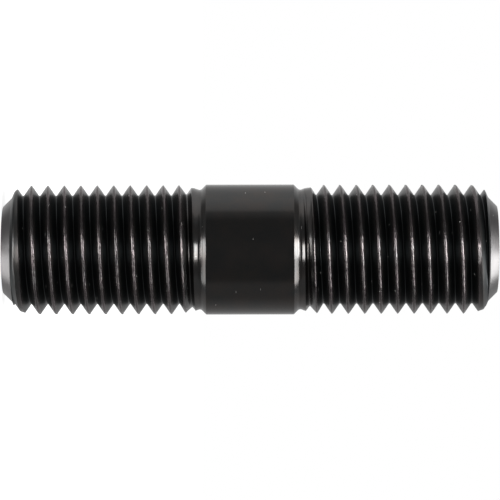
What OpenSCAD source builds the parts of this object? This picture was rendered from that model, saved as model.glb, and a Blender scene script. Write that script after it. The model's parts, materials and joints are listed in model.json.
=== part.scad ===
// Double-ended stud bolt, thread rolled at both ends, with a plain shank between the threads.
// It stands on its lower end face. The origin is the centre of that face and +Z is the axis.

/* [Stud] */
// Overall length from end face to end face
length = 60; // [56:1:120]
// Length of the lower thread, from the end face to the neck below the shank
lower_thread = 24; // [14:0.5:26]
// Length of the upper thread, from the end face to the neck above the shank
upper_thread = 24; // [14:0.5:26]
// Diameter of the plain shank
shank_d = 15.8; // [15.7:0.05:18]
// Slope of the shank's end chamfers, measured from the axis
shank_slope = 45; // [30:1:60]

/* [Thread] */
// Outer diameter over the thread crests
thread_d = 15.66; // [15.5:0.02:16]
// Axial distance from one crest to the next
pitch = 2; // [1.5:0.25:2.5]
// Angle between the two flanks of the groove
flank_angle = 70; // [60:1:75]
// Width of the flat left on a crest
crest_flat = 0.12; // [0.1:0.01:0.3]
// Width of the flat at the bottom of the groove
root_flat = 0.14; // [0.1:0.01:0.4]
// Angle from +X at which the lower groove starts at its end face
lower_start = 100; // [0:1:359]
// Angle from +X at which the upper groove starts at its end face
upper_start = 171; // [0:1:359]

/* [Run-out] */
// Length of thread over which the groove grows shallow towards the neck
runout = 2.4; // [2:0.1:6]
// How fast the groove grows shallow: at 1 evenly, and above 1 more and more
runout_bend = 1.3; // [1:0.05:1.6]
// Length of thread over which the last turns close up
closing_length = 3; // [2.5:0.1:5]
// How far the groove's end stays back from the neck, as its last turns close up
end_gap = 0.7; // [0.6:0.05:0.8]
// How much lower the last crest is than the full ones
crest_fade = 0.32; // [0.1:0.02:0.4]
// Distance from the neck within which the crests stay at that lower height
low_crests = 1.2; // [0.8:0.05:1.6]
// Slope from the last crest down to the neck, measured from the axis
neck_slope = 33; // [25:1:45]

/* [Ends] */
// How far the edge of the end face lies inside the bottom of the groove
end_drop = 1.35; // [1.2:0.05:2]
// Height of the chamfer at the end face
end_chamfer = 1.1; // [0.8:0.1:1.2]
// Slope of the chamfer at the end face, measured from the axis
end_slope = 45; // [35:1:55]
// Slope of the first crest's outer flank, measured from the axis
rise_slope = 67; // [55:1:75]
// How much lower the first crest starts than the full ones
lead_drop = 0.55; // [0.3:0.05:0.8]
// Slope at which the first crests rise to full height, measured from the axis
lead_slope = 18; // [15:1:45]

/* [Hidden] */

// Turned surfaces are true circles, and this only sets how fine their preview is.
round_steps = 96;
// Straight steps in one turn of the groove
groove_steps = 36;
// Room by which the groove's cutter stands clear of the metal
clearance = 0.05;
// How far the cutter's shoulders, which lie above the crests, stay back from the middle of a crest
shoulder_gap = crest_flat / 6;

shank_r = shank_d / 2;
crest_r = thread_d / 2;
thread_depth = (pitch - crest_flat - root_flat) / 2 / tan(flank_angle / 2);
root_r = crest_r - thread_depth;
// Rolling raises the crests as far above the rod as it sinks the groove below it.
rolled_r = crest_r - thread_depth / 2;
end_r = root_r - end_drop;

// Radii of the end's edges, and their heights above its end face
chamfer_r = end_r + end_chamfer * tan(end_slope);
first_r = crest_r - lead_drop;
first_crest = end_chamfer + (first_r - chamfer_r) / tan(rise_slope);
full_crest = first_crest + lead_drop / tan(lead_slope);

// Distances from the neck back towards the end face
last_crest_r = crest_r - crest_fade;
last_crest = (last_crest_r - rolled_r) / tan(neck_slope);
lift_start = pitch / 5;
lift_end = -pitch / 10;

// Radius of the crests at a distance from the neck
function crest_r_at(from_neck) = lookup(from_neck, [[low_crests, last_crest_r], [runout, crest_r]]);

// The cutter's shoulders clear the crests between its steps.
function shoulder_r(from_neck) = crest_r_at(from_neck) / cos(180 / groove_steps) + clearance / 2;

// Outline of one end from the centre of its end face to the shank's edge
function end_outline(thread_length) = [
    [0, 0],
    [end_r, 0],
    [chamfer_r, end_chamfer],
    [first_r, first_crest],
    [crest_r, full_crest],
    [crest_r, thread_length - runout],
    [last_crest_r, thread_length - low_crests],
    [last_crest_r, thread_length - last_crest],
    [rolled_r, thread_length],
    [shank_r, thread_length + (shank_r - rolled_r) / tan(shank_slope)]
];

// Radius at the bottom of the groove, from the length of thread that is left to the neck
function groove_r(left) =
    let (shallow = pow(max(0, 1 - max(left, 0) / runout), runout_bend))
    let (lifted = lookup(left, [[lift_end, shoulder_r(0) - rolled_r], [lift_start, 0]]))
    root_r + (rolled_r - root_r) * shallow + lifted;

// Distance of the groove from the neck, where the last turns close up instead of running into it
function groove_left(left) = left + end_gap * pow(max(0, 1 - left / closing_length), 2);

// Half the axial distance from one turn of the groove to the next
function half_turn(left) = (groove_left(left + pitch) - groove_left(left)) / 2;

// One section of the groove's cutter: its bottom flat, its shoulders towards the neck (inner) and the end
// face (outer), and the roof that closes it above the crests. Each shoulder stands beside the crest that it
// leaves, so a shallow groove is as wide as a full one.
function groove_section(left, angle, height) =
    let (bottom_r = groove_r(left), from_neck = groove_left(left))
    let (outer_half = half_turn(left), inner_half = max(half_turn(left - pitch), pitch / 8))
    let (outer_r = max(shoulder_r(from_neck + outer_half), bottom_r + clearance))
    let (inner_r = max(shoulder_r(from_neck - inner_half), bottom_r + clearance))
    let (outline = [
        [bottom_r, -root_flat / 2],
        [bottom_r, root_flat / 2],
        [inner_r, inner_half - shoulder_gap],
        [outer_r + clearance, inner_half - shoulder_gap],
        [outer_r, shoulder_gap - outer_half]
    ])
    [for (p = outline) [p.x * cos(angle), p.x * sin(angle), height + p.y]];

// Right-hand groove that comes in over the end face and rises out of the metal before the neck
module thread_groove(thread_length, start) {
    lead_in = 0.6 * pitch;
    cut_length = lead_in + thread_length - lift_end;
    steps = ceil(cut_length / pitch * groove_steps);
    sections = [
        for (i = [0 : steps])
            let (run = cut_length * i / steps - lead_in, left = thread_length - run)
            groove_section(left, start + 360 * run / pitch, thread_length - groove_left(left))
    ];
    sides = len(sections[0]);
    walls = [
        for (i = [0 : steps - 1], j = [0 : sides - 1])
            let (a = i * sides + j, b = i * sides + (j + 1) % sides)
            each [[a, b + sides, b], [a, a + sides, b + sides]]
    ];
    lower_cap = [for (j = [0 : sides - 1]) j];
    upper_cap = [for (j = [sides - 1 : -1 : 0]) steps * sides + j];
    polyhedron(points = [for (s = sections) each s], faces = concat(walls, [lower_cap, upper_cap]), convexity = 20);
}

// The rod with its shank, necks, crest cylinders and end chamfers, before the grooves
module turned_rod() {
    lower = end_outline(lower_thread);
    upper = end_outline(upper_thread);
    upper_down = [for (i = [len(upper) - 1 : -1 : 0]) [upper[i].x, length - upper[i].y]];
    rotate_extrude($fn = round_steps) polygon(concat(lower, upper_down));
}

module stud() {
    color("dimgray") difference() {
        turned_rod();
        thread_groove(lower_thread, lower_start);
        translate([0, 0, length]) rotate([180, 0, 0]) thread_groove(upper_thread, upper_start);
    }
}

stud();
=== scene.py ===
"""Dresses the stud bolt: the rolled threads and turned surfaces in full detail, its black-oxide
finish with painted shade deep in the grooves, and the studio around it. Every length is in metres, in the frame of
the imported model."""

import json
import math

import bmesh
import bpy
from mathutils import Matrix, Vector

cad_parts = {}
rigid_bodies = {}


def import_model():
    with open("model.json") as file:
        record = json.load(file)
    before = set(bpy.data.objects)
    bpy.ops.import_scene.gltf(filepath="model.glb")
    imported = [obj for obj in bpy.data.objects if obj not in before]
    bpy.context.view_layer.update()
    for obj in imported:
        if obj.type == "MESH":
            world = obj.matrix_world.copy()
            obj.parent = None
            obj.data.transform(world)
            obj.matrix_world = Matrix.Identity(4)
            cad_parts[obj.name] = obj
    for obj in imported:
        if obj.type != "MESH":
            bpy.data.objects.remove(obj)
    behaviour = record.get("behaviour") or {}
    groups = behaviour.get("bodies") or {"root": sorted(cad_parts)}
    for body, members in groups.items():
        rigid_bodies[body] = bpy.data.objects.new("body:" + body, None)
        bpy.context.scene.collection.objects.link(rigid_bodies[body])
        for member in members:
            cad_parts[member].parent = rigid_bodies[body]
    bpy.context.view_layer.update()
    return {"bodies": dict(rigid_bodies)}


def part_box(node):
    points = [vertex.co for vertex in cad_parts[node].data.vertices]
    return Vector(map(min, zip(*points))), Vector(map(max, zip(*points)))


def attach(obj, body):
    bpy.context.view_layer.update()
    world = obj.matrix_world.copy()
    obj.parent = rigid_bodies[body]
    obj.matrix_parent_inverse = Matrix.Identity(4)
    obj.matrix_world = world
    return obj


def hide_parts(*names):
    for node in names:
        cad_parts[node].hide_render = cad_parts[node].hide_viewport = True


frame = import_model()
STUD_LOW, STUD_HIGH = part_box("stud")
BODY = next(iter(frame["bodies"]))
MM = 0.001

bl_info = {
    "name": "Stud bolt",
    "version": (1, 0, 0),
    "blender": (4, 5, 0),
    "location": "View3D > Sidebar > Stud bolt",
    "description": "Builds a double-ended stud bolt with rolled threads and a black-oxide finish",
    "category": "Add Mesh",
}


def length_property(name, description, default_mm):
    """A length that the user sets, with its default in millimetres."""
    return bpy.props.FloatProperty(
        name=name, description=description, default=default_mm * MM, min=0, unit="LENGTH", precision=6
    )


def angle_property(name, description, degrees):
    """An angle that the user sets, with its default in degrees."""
    return bpy.props.FloatProperty(
        name=name, description=description, default=math.radians(degrees), subtype="ANGLE", unit="ROTATION"
    )


def share_property(name, description, default):
    """A share from 0 to 1 that the user sets."""
    return bpy.props.FloatProperty(
        name=name, description=description, default=default, min=0, max=1, subtype="FACTOR"
    )


def colour_property(name, description, default):
    """A colour that the user sets."""
    return bpy.props.FloatVectorProperty(
        name=name, description=description, default=default, min=0, max=1, size=3, subtype="COLOR"
    )


class StudSizes(bpy.types.PropertyGroup):
    """Sizes of the stud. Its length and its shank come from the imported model."""

    length: length_property("Length", "From end face to end face", (STUD_HIGH.z - STUD_LOW.z) / MM)
    shank_radius: length_property("Shank radius", "Half the shank's diameter", (STUD_HIGH.x - STUD_LOW.x) / 2 / MM)
    thread_length: length_property("Thread length", "From an end face to its neck", 24)
    crest_radius: length_property("Crest radius", "Half the diameter over the crests", 7.83)
    pitch: length_property("Pitch", "From one crest to the next", 2)
    crest_flat: length_property("Crest flat", "Width of a crest before it is rounded", 0.12)
    root_flat: length_property("Root flat", "Width of the bottom of the groove before it is rounded", 0.14)
    crest_round: length_property("Crest rounding", "How far the rounding of a crest reaches", 0.2)
    root_round: length_property("Root rounding", "How far the rounding of the root reaches", 0.1)
    half_flank: angle_property("Half flank angle", "Between a flank and a plane square to the axis", 35)
    lower_start: angle_property("Lower start", "Where the lower groove starts at its end face", 100)
    upper_start: angle_property("Upper start", "Where the upper groove starts at its end face", 171)
    runout: length_property("Run-out", "Length over which the groove grows shallow", 2.4)
    runout_bend: bpy.props.FloatProperty(
        name="Run-out bend", description="At 1 the groove grows shallow evenly, above 1 more and more", default=1.3
    )
    closing: length_property("Closing length", "Length over which the last turns close up", 3)
    end_gap: length_property("End gap", "How far the groove's end stays back from the neck", 0.7)
    crest_fade: length_property("Crest fade", "How much lower the last crest is", 0.32)
    low_crests: length_property("Low crests", "Distance from the neck within which crests are that low", 1.2)
    neck_slope: angle_property("Neck slope", "Slope of the last crest from the axis", 20)
    end_drop: length_property("End drop", "How far the end face's edge lies inside the root", 1.35)
    end_chamfer: length_property("End chamfer", "Height of the chamfer at the end face", 1.1)
    end_slope: angle_property("End slope", "Slope of the end chamfer from the axis", 45)
    rise_slope: angle_property("Rise slope", "Slope of the first crest's outer flank from the axis", 67)
    lead_drop: length_property("Lead drop", "How much lower the first crest is", 0.55)
    lead_slope: angle_property("Lead slope", "Slope of the first crests from the axis", 18)
    shank_slope: angle_property("Shank slope", "Slope of the shank's chamfers from the axis", 45)
    edge_round: length_property("Edge rounding", "Rounding of the turned edges", 0.06)
    soft_round: length_property("Soft rounding", "Rounding of the necks and the last crests", 0.3)
    lead_round: length_property("Lead rounding", "Rounding of the first crest", 0.3)
    crest_melt: length_property("Crest melting", "How much rounder the crests grow towards the neck", 0.8)
    turn_steps: bpy.props.IntProperty(name="Steps a turn", description="Steps in a turn of the groove", default=128)
    lathe_steps: bpy.props.IntProperty(name="Lathe steps", description="Steps around the rod", default=192)
    flank_steps: bpy.props.IntProperty(name="Flank steps", description="Steps up one flank of the groove", default=9)


class FinishAndShadeLook(bpy.types.PropertyGroup):
    """Colours and amounts of the black-oxide finish, and the painted shade deep in the grooves."""

    oxide: colour_property("Oxide", "Reflection of the black oxide", (0.057, 0.06, 0.061))
    oxide_brown: colour_property("Brown oxide", "Reflection of its browner patches", (0.074, 0.066, 0.062))
    # Painted shade: the groove colour darkens the steel deep in the grooves and stands in for the shade there
    groove: colour_property("Groove", "Reflection deep in the grooves", (0.04, 0.043, 0.044))
    edge_tint: share_property("Edge tint", "Reflection at a glancing angle", 0.75)
    worn: colour_property("Worn steel", "Reflection of the rubbed crests", (0.115, 0.098, 0.101))
    turned: colour_property("Turned steel", "Reflection of ends and necks, where the oxide is thin", (0.16, 0.155, 0.155))
    dust: colour_property("Dust", "Colour of the specks of dust", (0.62, 0.6, 0.58))
    crest_wear: share_property("Crest wear", "How much of the crests is rubbed bright", 0.9)
    wear_depth: length_property("Wear depth", "How far below the crests the rubbing reaches", 0.32)
    marks: share_property("Tool marks", "Strength of the marks left by turning and rolling", 0.5)
    specks: share_property("Specks", "How much dust and how many scratches the surface has", 0.5)


class StudioLook(bpy.types.PropertyGroup):
    """The camera and the light around the stud."""

    distance: length_property("Camera distance", "From the camera to the axis", 480)
    view_width: length_property("View width", "What the image takes in at the axis", 60.79)
    axis_lift: length_property("Axis lift", "How far the axis lies above the image's middle", 0.05)
    roll: angle_property("Camera roll", "How far the lower end dips in the image", 0.11)
    side_light: bpy.props.FloatProperty(name="Side light", description="Radiance of the end soft boxes", default=19)
    low_light: bpy.props.FloatProperty(name="Low light", description="Radiance of the low soft boxes", default=6)
    front_light: bpy.props.FloatProperty(
        name="Front light", description="Radiance of the soft boxes in front", default=13
    )
    room_light: bpy.props.FloatProperty(name="Room light", description="Radiance of the white room", default=1)
    room_fill: share_property("Room fill", "Even light of the room on matt surfaces", 0.6)
    dark_side: bpy.props.FloatProperty(name="Dark side", description="Radiance behind the camera", default=0.15)


# Helpers for node trees


def add_node(tree, kind, inputs=None, **settings):
    """A node with its settings and inputs, each of which is a value or another node's socket."""
    node = tree.nodes.new(kind)
    for name, value in settings.items():
        setattr(node, name, value)
    for name, value in (inputs or {}).items():
        socket = node.inputs[name]
        if isinstance(value, bpy.types.NodeSocket):
            tree.links.new(value, socket)
        else:
            socket.default_value = value
    return node


def add_group(tree, group, inputs):
    """A node that places a group, with its inputs."""
    node = add_node(tree, "GeometryNodeGroup" if tree.bl_idname == "GeometryNodeTree" else "ShaderNodeGroup")
    node.node_tree = group
    for name, value in inputs.items():
        if isinstance(value, bpy.types.NodeSocket):
            tree.links.new(value, node.inputs[name])
        else:
            node.inputs[name].default_value = value
    return node


class Sums:
    """Writes arithmetic into a node tree."""

    def __init__(self, tree):
        self.tree = tree

    def math(self, operation, *values):
        node = add_node(self.tree, "ShaderNodeMath", dict(enumerate(values)), operation=operation)
        return node.outputs[0]

    def add(self, first, *others):
        for other in others:
            first = self.math("ADD", first, other)
        return first

    def take(self, a, b):
        return self.math("SUBTRACT", a, b)

    def times(self, first, *others):
        for other in others:
            first = self.math("MULTIPLY", first, other)
        return first

    def over(self, a, b):
        return self.math("DIVIDE", a, b)

    def ramp(self, value, start, end, low=0.0, high=1.0, smooth=False):
        """low up to start, high from end on, and a straight or smooth rise between them."""
        node = add_node(
            self.tree,
            "ShaderNodeMapRange",
            {"Value": value, "From Min": start, "From Max": end, "To Min": low, "To Max": high},
            interpolation_type="SMOOTHSTEP" if smooth else "LINEAR",
        )
        return node.outputs["Result"]

    def point(self, x, y, z):
        return add_node(self.tree, "ShaderNodeCombineXYZ", {"X": x, "Y": y, "Z": z}).outputs[0]

    def blend(self, a, b, share):
        """Colour a where the share is 0 and colour b where it is 1."""
        colours = {6: a, 7: b}
        for socket, colour in colours.items():
            if not isinstance(colour, bpy.types.NodeSocket):
                colours[socket] = (*colour, 1)
        node = add_node(self.tree, "ShaderNodeMix", {"Factor": share} | colours, data_type="RGBA")
        return node.outputs[2]

    def parts(self, vector):
        return add_node(self.tree, "ShaderNodeSeparateXYZ", {"Vector": vector}).outputs


def new_tree(name, kind, inputs, outputs):
    """A node tree with its named sockets, each given as name: (socket kind, default)."""
    tree = bpy.data.node_groups.new(name, kind)
    for socket_name, (socket_kind, default) in inputs.items():
        socket = tree.interface.new_socket(socket_name, in_out="INPUT", socket_type="NodeSocket" + socket_kind)
        if default is not None:
            socket.default_value = default
    for socket_name, socket_kind in outputs.items():
        tree.interface.new_socket(socket_name, in_out="OUTPUT", socket_type="NodeSocket" + socket_kind)
    return tree, tree.nodes.new("NodeGroupInput").outputs, tree.nodes.new("NodeGroupOutput").inputs


# The turned rod


def thread_form(sizes):
    """Root radius, and the rolled rod's radius midway between root and crest."""
    depth = (sizes.pitch - sizes.crest_flat - sizes.root_flat) / 2 / math.tan(sizes.half_flank)
    return sizes.crest_radius - depth, sizes.crest_radius - depth / 2


def end_outline(sizes):
    """Radius, height and rounding of the rod's corners from an end face to the shank."""
    root_radius, rolled_radius = thread_form(sizes)
    end_radius = root_radius - sizes.end_drop
    chamfer_radius = end_radius + sizes.end_chamfer * math.tan(sizes.end_slope)
    first_radius = sizes.crest_radius - sizes.lead_drop
    first_crest = sizes.end_chamfer + (first_radius - chamfer_radius) / math.tan(sizes.rise_slope)
    full_crest = first_crest + sizes.lead_drop / math.tan(sizes.lead_slope)
    last_radius = sizes.crest_radius - sizes.crest_fade
    last_crest = sizes.thread_length - (last_radius - rolled_radius) / math.tan(sizes.neck_slope)
    shank_start = sizes.thread_length + (sizes.shank_radius - rolled_radius) / math.tan(sizes.shank_slope)
    edge, soft = sizes.edge_round, sizes.soft_round
    return [
        (end_radius, 0, edge),
        (chamfer_radius, sizes.end_chamfer, edge),
        (first_radius, first_crest, sizes.lead_round),
        (sizes.crest_radius, full_crest, edge),
        (sizes.crest_radius, sizes.thread_length - sizes.runout, edge),
        (last_radius, sizes.thread_length - sizes.low_crests, soft),
        (last_radius, last_crest, soft),
        (rolled_radius, sizes.thread_length, soft),
        (sizes.shank_radius, shank_start, edge),
    ]


def rounded_outline(corners, steps=4):
    """The outline with each inner corner replaced by a short curve of its own rounding."""
    outline = [corners[0][:2]]
    for before, corner, after in zip(corners, corners[1:], corners[2:]):
        rounding = corner[2]
        before, corner, after = Vector(before[:2]), Vector(corner[:2]), Vector(after[:2])
        back, on = before - corner, after - corner
        start = corner + back.normalized() * min(rounding, back.length * 0.45)
        end = corner + on.normalized() * min(rounding, on.length * 0.45)
        for i in range(steps + 1):
            t = i / steps
            outline.append(start * (1 - t) ** 2 + corner * 2 * t * (1 - t) + end * t**2)
    outline.append(corners[-1][:2])
    return [Vector(point) for point in outline]


def turned_rod(sizes):
    """A closed mesh of the rod before its threads, turned about Z."""
    lower = end_outline(sizes)
    upper = [(radius, sizes.length - height, rounding) for radius, height, rounding in reversed(lower)]
    outline = rounded_outline([(0, 0, 0)] + lower + upper + [(0, sizes.length, 0)])
    rod = bmesh.new()
    rings = []
    for radius, height in outline[1:-1]:
        ring = []
        for i in range(sizes.lathe_steps):
            turn = 2 * math.pi * i / sizes.lathe_steps
            ring.append(rod.verts.new((radius * math.cos(turn), radius * math.sin(turn), height)))
        rings.append(ring)
    for low, high in zip(rings, rings[1:]):
        for i in range(sizes.lathe_steps):
            j = (i + 1) % sizes.lathe_steps
            rod.faces.new((low[i], low[j], high[j], high[i]))
    for ring, centre, upward in ((rings[0], outline[0], False), (rings[-1], outline[-1], True)):
        pole = rod.verts.new((0, 0, centre[1]))
        for i in range(sizes.lathe_steps):
            j = (i + 1) % sizes.lathe_steps
            rod.faces.new((ring[i], ring[j], pole) if upward else (ring[j], ring[i], pole))
    mesh = bpy.data.meshes.new("turned_rod")
    rod.to_mesh(mesh)
    rod.free()
    return mesh


# The rolled threads, as a Geometry Nodes tree

THREAD_INPUTS = {
    "Thread Length": "thread_length",
    "Pitch": "pitch",
    "Crest Radius": "crest_radius",
    "Crest Flat": "crest_flat",
    "Root Flat": "root_flat",
    "Crest Rounding": "crest_round",
    "Root Rounding": "root_round",
    "Half Flank Angle": "half_flank",
    "Run-out": "runout",
    "Run-out Bend": "runout_bend",
    "Closing Length": "closing",
    "End Gap": "end_gap",
    "Crest Fade": "crest_fade",
    "Low Crests": "low_crests",
    "Crest Melting": "crest_melt",
    "Steps a Turn": "turn_steps",
    "Flank Steps": "flank_steps",
}
WHOLE_INPUTS = ("Steps a Turn", "Flank Steps")


def thread_sockets(sizes):
    """The tree sockets that set a thread, with their defaults."""
    return {
        name: ("Int" if name in WHOLE_INPUTS else "Float", getattr(sizes, attribute))
        for name, attribute in THREAD_INPUTS.items()
    }


def groove_tree(sizes):
    """A closed sweep of the space that one thread's groove takes out of the rod.

    Its points lie in rows. A row runs once round the groove's section, and the rows follow the helix from
    below the end face to the neck. The first and last row shrink to a point, which closes the sweep."""
    sockets = {"Start Angle": ("Float", 0.0)} | thread_sockets(sizes)
    tree, given, result = new_tree("Thread groove", "GeometryNodeTree", sockets, {"Groove": "Geometry"})
    s = Sums(tree)
    pitch, thread_length = given["Pitch"], given["Thread Length"]
    slope = s.math("TANGENT", given["Half Flank Angle"])
    depth = s.over(s.take(s.take(pitch, given["Crest Flat"]), given["Root Flat"]), s.times(slope, 2.0))
    root = s.take(given["Crest Radius"], depth)
    rolled = s.take(given["Crest Radius"], s.times(depth, 0.5))

    # Number of points along the helix and round the section
    lead_in = s.times(pitch, 0.6)
    lift_start = s.times(pitch, 0.2)
    lift_end = s.times(pitch, -0.1)
    cut_length = s.take(s.add(lead_in, thread_length), lift_end)
    rows = s.math("CEIL", s.times(s.over(cut_length, pitch), given["Steps a Turn"]))
    across = s.add(s.times(given["Flank Steps"], 2.0), 3.0)
    grid = add_node(tree, "GeometryNodeMeshGrid", {"Vertices X": rows, "Vertices Y": across})
    index = add_node(tree, "GeometryNodeInputIndex").outputs[0]
    row = s.math("FLOOR", s.over(s.add(index, 0.5), across))
    place = s.take(index, s.times(row, across))

    # Where the row stands on the helix, and how far the turns beside it are
    def from_neck(left):
        """Distance from the neck, which the last turns keep by closing up."""
        near = s.math("MAXIMUM", s.take(1.0, s.over(left, given["Closing Length"])), 0.0)
        return s.add(left, s.times(given["End Gap"], near, near))

    run = s.take(s.times(cut_length, s.over(row, s.take(rows, 1.0))), lead_in)
    left = s.take(thread_length, run)
    turn = s.add(given["Start Angle"], s.times(s.over(run, pitch), 2 * math.pi))
    to_neck = from_neck(left)
    height = s.take(thread_length, to_neck)
    outer_half = s.times(s.take(from_neck(s.add(left, pitch)), to_neck), 0.5)
    inner_half = s.times(s.take(to_neck, from_neck(s.take(left, pitch))), 0.5)
    inner_half = s.math("MAXIMUM", inner_half, s.times(pitch, 0.125))

    # The bottom of the groove grows shallow, then rises out of the metal
    shallow = s.math("MAXIMUM", s.take(1.0, s.over(s.math("MAXIMUM", left, 0.0), given["Run-out"])), 0.0)
    melting = s.times(shallow, given["Crest Melting"])
    shallow = s.times(s.math("POWER", shallow, given["Run-out Bend"]), s.take(rolled, root))
    lift = s.ramp(left, lift_start, lift_end, 0.0, s.take(given["Crest Radius"], rolled))
    bottom = s.add(root, shallow, lift)

    # The section: a roof outside the metal, then a shoulder, flank, root, flank and shoulder
    step = s.take(s.over(s.take(place, 1.0), given["Flank Steps"]), 1.0)
    step = s.math("MINIMUM", s.math("MAXIMUM", step, -1.0), 1.0)
    inner = s.math("GREATER_THAN", step, 0.0)
    half = s.add(outer_half, s.times(inner, s.take(inner_half, outer_half)))
    last_crest = s.take(given["Crest Radius"], given["Crest Fade"])

    def depth_beside(distance):
        """Depth of the groove below the crest that stands at a distance from the neck."""
        crest = s.ramp(distance, given["Low Crests"], given["Run-out"], last_crest, given["Crest Radius"])
        return s.math("MAXIMUM", s.take(crest, bottom), 0.05 * MM)

    section_depth = depth_beside(s.take(to_neck, s.times(s.math("SIGN", step), half)))
    root_half = s.times(given["Root Flat"], 0.5)
    half_land = s.times(given["Crest Flat"], 0.5)
    run_of_flank = s.over(s.take(s.take(half, half_land), root_half), section_depth)
    eased = s.take(0.5, s.times(0.5, s.math("COSINE", s.times(s.math("ABSOLUTE", step), math.pi))))
    beside = s.times(s.take(half, s.times(half_land, 0.14)), eased)
    flank = s.over(s.take(beside, root_half), run_of_flank)
    hollow = s.math("SMOOTH_MAX", flank, 0.0, given["Root Rounding"])
    land_edge = s.take(half, s.times(half_land, 0.43))
    land = s.add(section_depth, s.times(s.take(beside, land_edge), 0.27))
    short_of_middle = s.math("MINIMUM", s.over(s.take(half, beside), s.times(half, 0.35)), 1.0)
    crest_rounding = s.add(given["Crest Rounding"], s.times(melting, short_of_middle))
    rise = s.math("SMOOTH_MIN", hollow, land, crest_rounding)
    last_place = s.take(across, 1.0)
    on_roof = s.add(s.math("LESS_THAN", place, 0.5), s.math("GREATER_THAN", place, s.take(last_place, 0.5)))
    off_roof = s.take(1.0, on_roof)
    roof = s.add(depth_beside(s.add(to_neck, outer_half)), 0.15 * MM)
    closed_end = s.add(s.math("LESS_THAN", row, 0.5), s.math("GREATER_THAN", row, s.take(rows, 1.5)))
    open_row = s.take(1.0, closed_end)
    rise = s.add(s.times(rise, off_roof), s.times(roof, on_roof))
    rise = s.add(s.times(rise, open_row), s.times(roof, closed_end))
    roof_side = s.take(inner_half, s.times(half_land, 0.14))
    aside = s.add(s.times(s.math("SIGN", step), beside, off_roof), s.times(roof_side, on_roof))
    aside = s.times(aside, open_row)

    radius = s.add(bottom, rise)
    spot = s.point(
        s.times(radius, s.math("COSINE", turn)), s.times(radius, s.math("SINE", turn)), s.add(height, aside)
    )
    swept = add_node(tree, "GeometryNodeSetPosition", {"Geometry": grid.outputs["Mesh"], "Position": spot})
    closed = add_node(
        tree, "GeometryNodeMergeByDistance", {"Geometry": swept.outputs[0], "Distance": 0.0005 * MM}
    )
    outward = add_node(tree, "GeometryNodeFlipFaces", {"Mesh": closed.outputs[0]})
    tree.links.new(outward.outputs[0], result["Groove"])
    return tree


def thread_tree(sizes, material):
    """Cuts the groove of each thread from the rod, and shades the flanks smooth up to their edges."""
    sockets = {
        "Rod": ("Geometry", None),
        "Length": ("Float", sizes.length),
        "Lower Start": ("Float", sizes.lower_start),
        "Upper Start": ("Float", sizes.upper_start),
    } | thread_sockets(sizes)
    tree, given, result = new_tree("Rolled threads", "GeometryNodeTree", sockets, {"Stud": "Geometry"})
    s = Sums(tree)
    groove = groove_tree(sizes)
    cutters = []
    for start in ("Lower Start", "Upper Start"):
        inputs = {"Start Angle": given[start]} | {name: given[name] for name in THREAD_INPUTS}
        cutters.append(add_group(tree, groove, inputs).outputs["Groove"])
    upside_down = add_node(
        tree,
        "GeometryNodeTransform",
        {
            "Geometry": cutters[1],
            "Translation": s.point(0.0, 0.0, given["Length"]),
            "Rotation": (math.pi, 0.0, 0.0),
        },
    )
    cut = add_node(tree, "GeometryNodeMeshBoolean", operation="DIFFERENCE", solver="MANIFOLD")
    tree.links.new(given["Rod"], cut.inputs["Mesh 1"])
    tree.links.new(cutters[0], cut.inputs["Mesh 2"])
    tree.links.new(upside_down.outputs[0], cut.inputs["Mesh 2"])
    smooth = add_node(tree, "GeometryNodeSetShadeSmooth", {"Geometry": cut.outputs["Mesh"]}, domain="FACE")
    bend = add_node(tree, "GeometryNodeInputMeshEdgeAngle").outputs["Unsigned Angle"]
    sharp = add_node(
        tree,
        "GeometryNodeSetShadeSmooth",
        {
            "Geometry": smooth.outputs[0],
            "Selection": s.math("GREATER_THAN", bend, math.radians(32)),
            "Shade Smooth": False,
        },
        domain="EDGE",
    )
    real = add_node(tree, "GeometryNodeRealizeInstances", {"Geometry": sharp.outputs[0]})
    finished = add_node(
        tree, "GeometryNodeSetMaterial", {"Geometry": real.outputs[0], "Material": material}
    )
    tree.links.new(finished.outputs[0], result["Stud"])
    return tree


def plain_mesh(source, tree, name):
    """A new object with the plain mesh that the tree makes of the source mesh."""
    carrier = bpy.data.objects.new(name + "_source", source)
    bpy.context.scene.collection.objects.link(carrier)
    modifier = carrier.modifiers.new("Threads", "NODES")
    modifier.node_group = tree
    sizes = bpy.context.scene.stud_sizes
    own = {"Length": "length", "Lower Start": "lower_start", "Upper Start": "upper_start"} | THREAD_INPUTS
    for item in tree.interface.items_tree:
        if item.item_type == "SOCKET" and item.in_out == "INPUT" and item.name in own:
            modifier[item.identifier] = getattr(sizes, own[item.name])
    graph = bpy.context.evaluated_depsgraph_get()
    mesh = bpy.data.meshes.new_from_object(carrier.evaluated_get(graph))
    carrier.modifiers.remove(modifier)
    bpy.data.objects.remove(carrier)
    mesh.name = name
    piece = bpy.data.objects.new(name, mesh)
    bpy.context.scene.collection.objects.link(piece)
    return piece


# The finish


def marks_group():
    """Fine marks that run round the axis, as turning and rolling leave them."""
    sockets = {
        "Position": ("Vector", None),
        "Across": ("Float", 0.0),
        "Spacing": ("Float", 0.15 * MM),
        "Reach": ("Float", 3 * MM),
    }
    tree, given, result = new_tree("Turning marks", "ShaderNodeTree", sockets, {"Marks": "Float"})
    s = Sums(tree)
    x, y, z = s.parts(given["Position"])
    reach = given["Reach"]
    stretched = s.point(s.over(x, reach), s.over(y, reach), s.over(z, 1.7 * MM))
    across = s.over(given["Across"], given["Spacing"])
    noise = add_node(
        tree,
        "ShaderNodeTexNoise",
        {"Vector": stretched, "W": across, "Scale": 1.0, "Detail": 2.0, "Roughness": 0.55},
        noise_dimensions="4D",
    )
    tree.links.new(s.ramp(noise.outputs[0], 0.3, 0.7), result["Marks"])
    return tree


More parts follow.
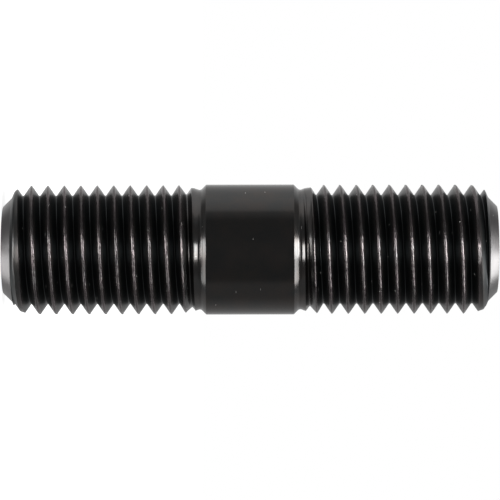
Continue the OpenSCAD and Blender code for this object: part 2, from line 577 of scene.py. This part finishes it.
def specks_group():
    """Scattered round specks, one at most in each cell of a flat pattern."""
    sockets = {
        "Position": ("Vector", None),
        "Spacing": ("Float", 2 * MM),
        "Size": ("Float", 0.07 * MM),
        "Share": ("Float", 0.5),
    }
    tree, given, result = new_tree("Specks", "ShaderNodeTree", sockets, {"Mask": "Float"})
    s = Sums(tree)
    cells = add_node(
        tree,
        "ShaderNodeTexVoronoi",
        {"Vector": given["Position"], "Scale": s.over(1.0, given["Spacing"])},
        voronoi_dimensions="2D",
    )
    lot, amount, _ = s.parts(cells.outputs["Color"])
    size = s.times(s.over(given["Size"], given["Spacing"]), s.add(0.6, s.times(amount, 0.8)))
    spot = s.ramp(cells.outputs["Distance"], size, s.times(size, 0.6))
    tree.links.new(s.times(spot, s.math("LESS_THAN", lot, given["Share"])), result["Mask"])
    return tree


def black_steel(sizes, look):
    """Black oxide on steel: mottled on the shank, rubbed along the crests, thin at necks and ends, with painted
    shade deep in the grooves.
    """
    material = bpy.data.materials.new("black_oxide_steel")
    material.use_nodes = True
    tree = material.node_tree
    shader = tree.nodes["Principled BSDF"]
    s = Sums(tree)
    position = add_node(tree, "ShaderNodeTexCoord").outputs["Object"]
    x, y, z = s.parts(position)
    radius = s.math("SQRT", s.add(s.times(x, x), s.times(y, y)))
    half_length = sizes.length / 2
    shank_half = half_length - sizes.thread_length
    from_middle = s.math("ABSOLUTE", s.take(z, half_length))

    # How far a point lies across its thread from the middle of the crest
    upper = s.math("GREATER_THAN", z, half_length)
    start = s.add(sizes.lower_start, s.times(upper, -sizes.upper_start - sizes.lower_start))
    along = s.take(z, s.times(upper, sizes.length))
    angle = s.math("ARCTAN2", y, x)
    turns = s.take(s.over(along, sizes.pitch), s.over(s.take(angle, start), 2 * math.pi))
    across = s.times(s.take(s.math("FRACT", turns), 0.5), sizes.pitch)

    marks_tree, specks_tree = marks_group(), specks_group()

    def marks(across_marks, spacing, reach):
        inputs = {"Position": position, "Across": across_marks, "Spacing": spacing, "Reach": reach}
        return add_group(tree, marks_tree, inputs).outputs[0]

    def specks(place, spacing, size, share):
        inputs = {"Position": place, "Spacing": spacing, "Size": size, "Share": share}
        return add_group(tree, specks_tree, inputs).outputs[0]

    crest_lines = marks(across, 0.2 * MM, 0.6 * MM)
    crest_patches = marks(across, 0.6 * MM, 4 * MM)
    turning_lines = marks(s.add(radius, from_middle), 0.1 * MM, 9 * MM)
    patches = add_node(tree, "ShaderNodeTexNoise", {"Vector": position, "Scale": 420.0, "Detail": 5.0}).outputs[0]
    grain = add_node(tree, "ShaderNodeTexNoise", {"Vector": position, "Scale": 5200.0, "Detail": 1.0}).outputs[0]

    # Where each kind of surface is
    in_thread = s.ramp(from_middle, shank_half + 1.2 * MM, shank_half + 2 * MM)
    crest_edge = sizes.crest_radius - look.wear_depth
    on_crest = s.ramp(radius, crest_edge - 0.05 * MM, crest_edge + 0.1 * MM, smooth=True)
    on_crest = s.times(on_crest, in_thread)
    at_end = s.ramp(from_middle, half_length - sizes.end_chamfer - 0.1 * MM, half_length - sizes.end_chamfer)
    off_shank = s.ramp(from_middle, shank_half - 0.72 * MM, shank_half - 0.66 * MM)
    near_neck = s.times(off_shank, s.ramp(from_middle, shank_half + 2.2 * MM, shank_half + 1.4 * MM))
    off_chamfer = s.ramp(from_middle, shank_half - 0.3 * MM, shank_half + 0.2 * MM, 0.0, 0.2)
    bare = s.math("MAXIMUM", at_end, s.times(near_neck, off_chamfer))
    # Where the painted shade darkens the grooves: none at the worn band, full at 0.5 mm below it
    deep = s.times(in_thread, s.ramp(radius, crest_edge, crest_edge - 0.5 * MM))

    # Colour
    rubbed = s.times(on_crest, look.crest_wear, s.add(0.1, s.times(crest_lines, crest_patches, 1.8)))
    around = s.times(angle, sizes.crest_radius)
    dusty = specks(s.point(around, z, 0.0), 2.3 * MM, 0.045 * MM, 0.4 * look.specks)
    scratches = specks(s.point(s.times(around, 0.14), z, 0.0), 1.1 * MM, 0.03 * MM, 0.4 * look.specks)
    dusty = s.math("MAXIMUM", dusty, s.times(scratches, 0.3))
    on_shank = s.take(1.0, off_shank)
    mottled = s.add(s.times(s.ramp(patches, 0.35, 0.65), 0.55), s.times(s.ramp(grain, 0.3, 0.7), 0.45))
    colour = s.blend(look.oxide, look.oxide_brown, mottled)
    # Painted shade deep in the grooves
    colour = s.blend(colour, look.groove, deep)
    colour = s.blend(colour, look.turned, s.times(bare, s.add(0.7, s.times(turning_lines, 0.3))))
    colour = s.blend(colour, look.worn, rubbed)
    colour = s.blend(colour, look.dust, dusty)
    tree.links.new(colour, shader.inputs["Base Color"])
    tree.links.new(s.take(1.0, dusty), shader.inputs["Metallic"])

    # Roughness
    rough = s.add(0.26, s.times(patches, 0.08))
    rough = s.add(rough, s.times(on_crest, -0.06), s.times(near_neck, -0.12), s.times(on_shank, -0.12))
    rough = s.add(rough, s.times(dusty, 0.4))
    tree.links.new(rough, shader.inputs["Roughness"])

    # Height of the marks
    height = s.times(on_crest, crest_lines, 0.04 * MM * look.marks)
    height = s.add(height, s.times(turning_lines, s.add(0.0015 * MM, s.times(at_end, 0.008 * MM)), look.marks))
    height = s.add(height, s.times(grain, 0.0012 * MM))
    bump = add_node(tree, "ShaderNodeBump", {"Height": height, "Distance": 1.0, "Strength": 1.0})
    tree.links.new(bump.outputs[0], shader.inputs["Normal"])
    shader.inputs["Specular Tint"].default_value = (look.edge_tint, look.edge_tint, look.edge_tint, 1)
    return material


# Operators


class STUD_OT_build(bpy.types.Operator):
    """Turns the rod, rolls both threads into it, gives it its finish and paints shade deep in its grooves"""

    bl_idname = "stud.build"
    bl_label = "Build stud"

    def execute(self, context):
        sizes = context.scene.stud_sizes
        material = black_steel(sizes, context.scene.stud_finish)
        rod = turned_rod(sizes)
        piece = plain_mesh(rod, thread_tree(sizes, material), "stud_bolt")
        if len(piece.data.polygons) < 10000:
            raise RuntimeError("the threads were not cut")
        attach(piece, BODY)
        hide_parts("stud")
        return {"FINISHED"}


class STUD_OT_studio(bpy.types.Operator):
    """Sets the floor, the soft boxes, the surroundings and the camera"""

    bl_idname = "stud.studio"
    bl_label = "Set studio"

    def execute(self, context):
        look = context.scene.stud_studio
        place_camera(context, look)
        lay_floor(context)
        hang_lights(context, look)
        paint_surroundings(context, look)
        context.scene.view_settings.view_transform = "Standard"
        return {"FINISHED"}


SENSOR = 0.036
MIDDLE = (STUD_LOW.z + STUD_HIGH.z) / 2


def place_camera(context, look):
    """A long lens square to the axis, turned so that the stud lies across the image."""
    data = bpy.data.cameras.new("camera")
    data.sensor_width = SENSOR / MM
    data.lens = SENSOR / MM * look.distance / look.view_width
    data.clip_start = 0.01
    camera = bpy.data.objects.new("camera", data)
    context.scene.collection.objects.link(camera)
    right, up, back = Vector((0, 0, 1)), Vector((-1, 0, 0)), Vector((0, -1, 0))
    turned = Matrix((right, up, back)).transposed().to_4x4() @ Matrix.Rotation(-look.roll, 4, "Z")
    camera.matrix_world = Matrix.Translation((look.axis_lift, -look.distance, MIDDLE)) @ turned
    context.scene.camera = camera


def lay_floor(context):
    """A wide pale floor under the stud that shows its shadow and is white elsewhere."""
    size = 2.0
    mesh = bpy.data.meshes.new("floor")
    corners = [(-size, -size, 0), (size, -size, 0), (size, size, 0), (-size, size, 0)]
    mesh.from_pydata(corners, [], [(0, 1, 2, 3)])
    floor = bpy.data.objects.new("floor", mesh)
    context.scene.collection.objects.link(floor)
    material = bpy.data.materials.new("pale_floor")
    material.use_nodes = True
    tree = material.node_tree
    tree.nodes.clear()
    paint = add_node(tree, "ShaderNodeBsdfDiffuse", {"Color": (0.8, 0.8, 0.8, 1)})
    shaded = add_node(tree, "ShaderNodeBsdfDiffuse", {"Color": (0.3, 0.3, 0.3, 1)})
    glow = add_node(tree, "ShaderNodeEmission", {"Color": (1, 1, 1, 1), "Strength": 0.85})
    seen = add_node(tree, "ShaderNodeAddShader", {0: shaded.outputs[0], 1: glow.outputs[0]})
    path = add_node(tree, "ShaderNodeLightPath")
    s = Sums(tree)
    shown = s.math("MAXIMUM", path.outputs["Is Camera Ray"], path.outputs["Is Glossy Ray"])
    shown = s.math("MAXIMUM", shown, path.outputs["Is Transmission Ray"])
    mix = add_node(tree, "ShaderNodeMixShader", {0: shown, 1: paint.outputs[0], 2: seen.outputs[0]})
    output = add_node(tree, "ShaderNodeOutputMaterial", {"Surface": mix.outputs[0]})
    output.is_active_output = True
    mesh.materials.append(material)
    floor.visible_glossy = False
    floor.visible_diffuse = False
    floor.visible_shadow = False


def soft_box(context, name, centre, target, width, height, radiance):
    """An area lamp of a given radiance that faces its target."""
    data = bpy.data.lights.new(name, "AREA")
    data.shape = "RECTANGLE"
    data.size, data.size_y = width, height
    data.energy = radiance * math.pi * width * height
    lamp = bpy.data.objects.new(name, data)
    context.scene.collection.objects.link(lamp)
    aim = Vector(target) - Vector(centre)
    lamp.matrix_world = Matrix.Translation(centre) @ aim.to_track_quat("-Z", "Y").to_matrix().to_4x4()
    lamp.visible_camera = False


def hang_lights(context, look):
    """Soft boxes beyond each end of the stud: beside it, below it in the image, and in front."""
    middle = (0, 0, MIDDLE)
    for side, name, share in ((-1, "lower", 0.55), (1, "upper", 1.15)):
        centre = (-0.008, -0.09, MIDDLE + side * 0.30)
        soft_box(context, name + "_soft_box", centre, middle, 0.11, 0.13, look.side_light * share)
        centre = (0.095, 0.03, MIDDLE + side * 0.28)
        soft_box(context, name + "_low_box", centre, middle, 0.16, 0.14, look.low_light * share)
        centre = (0.03, -0.37, MIDDLE + side * 0.27)
        soft_box(context, name + "_front_box", centre, middle, 0.20, 0.08, look.front_light)


def paint_surroundings(context, look):
    """White for the camera, and for reflections a studio that is pale behind and above, dark in front."""
    world = bpy.data.worlds.new("studio")
    context.scene.world = world
    world.use_nodes = True
    tree = world.node_tree
    tree.nodes.clear()
    s = Sums(tree)
    across, along, endward = s.parts(add_node(tree, "ShaderNodeTexCoord").outputs["Generated"])
    towards_camera = s.times(along, -1.0)
    upward = s.times(across, -1.0)
    white = s.ramp(towards_camera, 0.36, 0.28, smooth=True)
    white = s.times(white, s.ramp(towards_camera, 0.3, -0.15, 0.68, 1.0))
    white = s.times(white, s.ramp(upward, -0.1, 0.15, smooth=True))
    white = s.times(white, s.ramp(s.math("ABSOLUTE", endward), 0.45, 0.8, 1.0, 0.15, smooth=True))
    below = s.ramp(towards_camera, 0.6, 0.4, 0.0, 0.14, smooth=True)
    below = s.add(below, s.times(s.ramp(towards_camera, -0.1, -0.75, 0.0, 0.45), s.ramp(upward, 0.0, -0.3)))
    level = s.math("MAXIMUM", s.times(white, look.room_light), s.add(look.dark_side, below))
    path = add_node(tree, "ShaderNodeLightPath")
    glossy = path.outputs["Is Glossy Ray"]
    plain = s.take(1.0, s.times(path.outputs["Is Diffuse Ray"], 1.0 - look.room_fill))
    strength = s.add(s.times(glossy, level), s.times(s.take(1.0, glossy), plain))
    background = add_node(tree, "ShaderNodeBackground", {"Color": (1, 1, 1, 1), "Strength": strength})
    add_node(tree, "ShaderNodeOutputWorld", {"Surface": background.outputs[0]})


class STUD_PT_panel(bpy.types.Panel):
    """Lists the stud's sizes, finish and studio, with the steps that build it"""

    bl_idname = "STUD_PT_panel"
    bl_label = "Stud bolt"
    bl_space_type = "VIEW_3D"
    bl_region_type = "UI"
    bl_category = "Stud bolt"

    def draw(self, context):
        for operator in (STUD_OT_studio, STUD_OT_build):
            self.layout.operator(operator.bl_idname)
        for group in (context.scene.stud_sizes, context.scene.stud_finish, context.scene.stud_studio):
            box = self.layout.box()
            for name in group.bl_rna.properties.keys():
                if name not in ("rna_type", "name"):
                    box.prop(group, name)


CLASSES = (StudSizes, FinishAndShadeLook, StudioLook, STUD_OT_build, STUD_OT_studio, STUD_PT_panel)


def register():
    for each in CLASSES:
        bpy.utils.register_class(each)
    bpy.types.Scene.stud_sizes = bpy.props.PointerProperty(type=StudSizes)
    bpy.types.Scene.stud_finish = bpy.props.PointerProperty(type=FinishAndShadeLook)
    bpy.types.Scene.stud_studio = bpy.props.PointerProperty(type=StudioLook)


def unregister():
    del bpy.types.Scene.stud_sizes
    del bpy.types.Scene.stud_finish
    del bpy.types.Scene.stud_studio
    for each in reversed(CLASSES):
        bpy.utils.unregister_class(each)


def main():
    register()
    bpy.ops.stud.studio()
    bpy.ops.stud.build()


if __name__ == "__main__":
    main()
